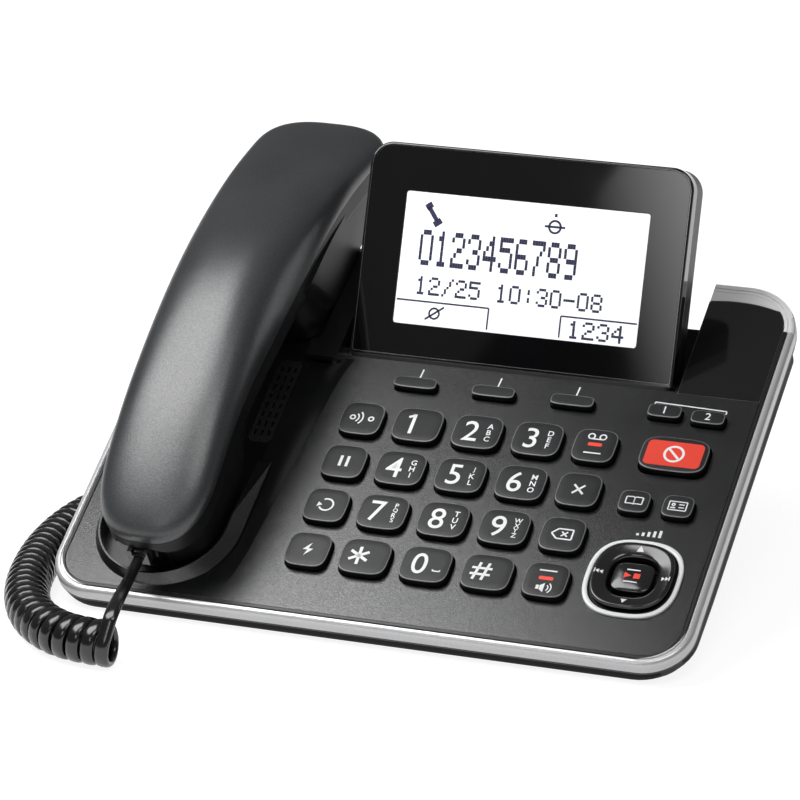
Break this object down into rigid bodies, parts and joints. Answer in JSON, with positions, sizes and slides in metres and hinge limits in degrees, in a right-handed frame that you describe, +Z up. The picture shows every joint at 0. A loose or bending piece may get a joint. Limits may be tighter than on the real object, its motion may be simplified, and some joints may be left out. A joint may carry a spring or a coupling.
{
  "type": "corded desk telephone with answering machine",
  "caption": "Sloping desk telephone with a tilting display, a large keypad, a rocking navigator and a corded handset that lifts from a cradle.",
  "frame": {"origin": "on the desk, under the middle of the telephone without its cord", "axes": "+Z up, +Y to the back of the telephone, +X to its right as seen by the person who uses it"},
  "size_m": [0.26, 0.2281, 0.144],
  "materials": {
    "charcoal_plastic": "fine spark texture",
    "black_plastic": "fine spark texture",
    "handset_plastic": "satin",
    "cap_plastic": "satin",
    "silver_trim": "satin silver paint",
    "glossy_black": "high gloss",
    "lcd_face": "satin",
    "key_plastic": "satin",
    "red_key": "satin",
    "red_lamp": "clear",
    "white_ring": "satin",
    "rubber": "matte",
    "steel": "plain",
    "circuit_board": "lacquered",
    "speaker_metal": "plain",
    "cord_vinyl": "satin",
    "plug_plastic": "smoked clear"
  },
  "bodies": {
    "base": {"base_lead": "cord_vinyl", "base_plug": "plug_plastic", "case_screws": "steel", "curly_cord": "cord_vinyl", "glossy_deck": "glossy_black", "handset_lead": "cord_vinyl", "hinge_pins": "steel", "keypad_mat": "rubber", "loudspeaker": "speaker_metal", "lower_case": "black_plastic", "main_board": "circuit_board", "navigator_bezel": "white_ring", "rear_stand": "black_plastic", "rubber_feet": "rubber", "speaker_grille": "cap_plastic", "trim_band": "silver_trim", "upper_case": "charcoal_plastic"},
    "display": {"display_bezel": "glossy_black", "display_lens": "glossy_black", "lcd_panel": "lcd_face", "display_back": "black_plastic"},
    "handset": {"handset_upper_shell": "handset_plastic", "handset_lower_shell": "handset_plastic", "ear_and_mouth_caps": "cap_plastic", "handset_plug": "plug_plastic"},
    "hook_plunger": {"hook_plunger": "black_plastic"},
    "navigator_gimbal": {"navigator_gimbal": "black_plastic"},
    "navigator_ring": {"navigator_ring": "glossy_black"},
    "play_stop_key": {"play_stop_key": "glossy_black"},
    "key_star": {"key_star": "key_plastic"},
    "key_0": {"key_0": "key_plastic"},
    "key_hash": {"key_hash": "key_plastic"},
    "key_7": {"key_7": "key_plastic"},
    "key_8": {"key_8": "key_plastic"},
    "key_9": {"key_9": "key_plastic"},
    "key_4": {"key_4": "key_plastic"},
    "key_5": {"key_5": "key_plastic"},
    "key_6": {"key_6": "key_plastic"},
    "key_1": {"key_1": "key_plastic"},
    "key_2": {"key_2": "key_plastic"},
    "key_3": {"key_3": "key_plastic"},
    "key_flash": {"key_flash": "key_plastic"},
    "key_redial": {"key_redial": "key_plastic"},
    "key_hold": {"key_hold": "key_plastic"},
    "key_intercom": {"key_intercom": "key_plastic"},
    "key_speakerphone": {"key_speakerphone": "key_plastic", "speaker_lamp": "red_lamp"},
    "key_erase": {"key_erase": "key_plastic"},
    "key_exit": {"key_exit": "key_plastic"},
    "key_answer": {"key_answer": "key_plastic", "answer_lamp": "red_lamp"},
    "soft_key_left": {"soft_key_left": "key_plastic"},
    "soft_key_middle": {"soft_key_middle": "key_plastic"},
    "soft_key_right": {"soft_key_right": "key_plastic"},
    "one_touch_key_1": {"one_touch_key_1": "key_plastic"},
    "one_touch_key_2": {"one_touch_key_2": "key_plastic"},
    "call_block_key": {"call_block_key": "red_key"},
    "phonebook_key": {"phonebook_key": "key_plastic"},
    "caller_id_key": {"caller_id_key": "key_plastic"}
  },
  "joints": [
    {"name": "display_tilt", "type": "hinge", "parent": "base", "child": "display", "pos_m": [0, 0.02575, 0.06461], "axis": [1, 0, 0], "range_deg": [-38, 0]},
    {"name": "handset_lift", "type": "slide", "parent": "base", "child": "handset", "axis": [0, -0.5, 0.866], "range_m": [0, 0.07]},
    {"name": "hook_rise", "type": "slide", "parent": "base", "child": "hook_plunger", "axis": [0, -0.5, 0.866], "range_m": [0, 0.004]},
    {"name": "navigator_side_rock", "type": "hinge", "parent": "base", "child": "navigator_gimbal", "pos_m": [0.0915, -0.05381, 0.023], "axis": [0, 0.866, 0.5], "range_deg": [-3, 3], "stiffness_Nm_per_rad": 0.05},
    {"name": "navigator_front_rock", "type": "hinge", "parent": "navigator_gimbal", "child": "navigator_ring", "pos_m": [0.0915, -0.05381, 0.023], "axis": [1, 0, 0], "range_deg": [-3, 3], "stiffness_Nm_per_rad": 0.05},
    {"name": "play_stop_press", "type": "slide", "parent": "base", "child": "play_stop_key", "axis": [0, 0.5, -0.866], "range_m": [0, 0.0012], "stiffness_N_per_m": 500, "springref_m": -0.0005},
    {"name": "star_press", "type": "slide", "parent": "base", "child": "key_star", "axis": [0, 0.5, -0.866], "range_m": [0, 0.0012], "stiffness_N_per_m": 500, "springref_m": -0.0005},
    {"name": "0_press", "type": "slide", "parent": "base", "child": "key_0", "axis": [0, 0.5, -0.866], "range_m": [0, 0.0012], "stiffness_N_per_m": 500, "springref_m": -0.0005},
    {"name": "hash_press", "type": "slide", "parent": "base", "child": "key_hash", "axis": [0, 0.5, -0.866], "range_m": [0, 0.0012], "stiffness_N_per_m": 500, "springref_m": -0.0005},
    {"name": "7_press", "type": "slide", "parent": "base", "child": "key_7", "axis": [0, 0.5, -0.866], "range_m": [0, 0.0012], "stiffness_N_per_m": 500, "springref_m": -0.0005},
    {"name": "8_press", "type": "slide", "parent": "base", "child": "key_8", "axis": [0, 0.5, -0.866], "range_m": [0, 0.0012], "stiffness_N_per_m": 500, "springref_m": -0.0005},
    {"name": "9_press", "type": "slide", "parent": "base", "child": "key_9", "axis": [0, 0.5, -0.866], "range_m": [0, 0.0012], "stiffness_N_per_m": 500, "springref_m": -0.0005},
    {"name": "4_press", "type": "slide", "parent": "base", "child": "key_4", "axis": [0, 0.5, -0.866], "range_m": [0, 0.0012], "stiffness_N_per_m": 500, "springref_m": -0.0005},
    {"name": "5_press", "type": "slide", "parent": "base", "child": "key_5", "axis": [0, 0.5, -0.866], "range_m": [0, 0.0012], "stiffness_N_per_m": 500, "springref_m": -0.0005},
    {"name": "6_press", "type": "slide", "parent": "base", "child": "key_6", "axis": [0, 0.5, -0.866], "range_m": [0, 0.0012], "stiffness_N_per_m": 500, "springref_m": -0.0005},
    {"name": "1_press", "type": "slide", "parent": "base", "child": "key_1", "axis": [0, 0.5, -0.866], "range_m": [0, 0.0012], "stiffness_N_per_m": 500, "springref_m": -0.0005},
    {"name": "2_press", "type": "slide", "parent": "base", "child": "key_2", "axis": [0, 0.5, -0.866], "range_m": [0, 0.0012], "stiffness_N_per_m": 500, "springref_m": -0.0005},
    {"name": "3_press", "type": "slide", "parent": "base", "child": "key_3", "axis": [0, 0.5, -0.866], "range_m": [0, 0.0012], "stiffness_N_per_m": 500, "springref_m": -0.0005},
    {"name": "flash_press", "type": "slide", "parent": "base", "child": "key_flash", "axis": [0, 0.5, -0.866], "range_m": [0, 0.0012], "stiffness_N_per_m": 500, "springref_m": -0.0005},
    {"name": "redial_press", "type": "slide", "parent": "base", "child": "key_redial", "axis": [0, 0.5, -0.866], "range_m": [0, 0.0012], "stiffness_N_per_m": 500, "springref_m": -0.0005},
    {"name": "hold_press", "type": "slide", "parent": "base", "child": "key_hold", "axis": [0, 0.5, -0.866], "range_m": [0, 0.0012], "stiffness_N_per_m": 500, "springref_m": -0.0005},
    {"name": "intercom_press", "type": "slide", "parent": "base", "child": "key_intercom", "axis": [0, 0.5, -0.866], "range_m": [0, 0.0012], "stiffness_N_per_m": 500, "springref_m": -0.0005},
    {"name": "speakerphone_press", "type": "slide", "parent": "base", "child": "key_speakerphone", "axis": [0, 0.5, -0.866], "range_m": [0, 0.0012], "stiffness_N_per_m": 500, "springref_m": -0.0005},
    {"name": "erase_press", "type": "slide", "parent": "base", "child": "key_erase", "axis": [0, 0.5, -0.866], "range_m": [0, 0.0012], "stiffness_N_per_m": 500, "springref_m": -0.0005},
    {"name": "exit_press", "type": "slide", "parent": "base", "child": "key_exit", "axis": [0, 0.5, -0.866], "range_m": [0, 0.0012], "stiffness_N_per_m": 500, "springref_m": -0.0005},
    {"name": "answer_press", "type": "slide", "parent": "base", "child": "key_answer", "axis": [0, 0.5, -0.866], "range_m": [0, 0.0012], "stiffness_N_per_m": 500, "springref_m": -0.0005},
    {"name": "soft_left_press", "type": "slide", "parent": "base", "child": "soft_key_left", "axis": [0, 0.5, -0.866], "range_m": [0, 0.0012], "stiffness_N_per_m": 500, "springref_m": -0.0005},
    {"name": "soft_middle_press", "type": "slide", "parent": "base", "child": "soft_key_middle", "axis": [0, 0.5, -0.866], "range_m": [0, 0.0012], "stiffness_N_per_m": 500, "springref_m": -0.0005},
    {"name": "soft_right_press", "type": "slide", "parent": "base", "child": "soft_key_right", "axis": [0, 0.5, -0.866], "range_m": [0, 0.0012], "stiffness_N_per_m": 500, "springref_m": -0.0005},
    {"name": "one_touch_1_press", "type": "slide", "parent": "base", "child": "one_touch_key_1", "axis": [0, 0.5, -0.866], "range_m": [0, 0.0012], "stiffness_N_per_m": 500, "springref_m": -0.0005},
    {"name": "one_touch_2_press", "type": "slide", "parent": "base", "child": "one_touch_key_2", "axis": [0, 0.5, -0.866], "range_m": [0, 0.0012], "stiffness_N_per_m": 500, "springref_m": -0.0005},
    {"name": "call_block_press", "type": "slide", "parent": "base", "child": "call_block_key", "axis": [0, 0.5, -0.866], "range_m": [0, 0.0012], "stiffness_N_per_m": 500, "springref_m": -0.0005},
    {"name": "phonebook_press", "type": "slide", "parent": "base", "child": "phonebook_key", "axis": [0, 0.5, -0.866], "range_m": [0, 0.0012], "stiffness_N_per_m": 500, "springref_m": -0.0005},
    {"name": "caller_id_press", "type": "slide", "parent": "base", "child": "caller_id_key", "axis": [0, 0.5, -0.866], "range_m": [0, 0.0012], "stiffness_N_per_m": 500, "springref_m": -0.0005}
  ],
  "couplings": [
    {"joint": "hook_rise", "follows": "handset_lift", "ratio": 0.057043}
  ]
}
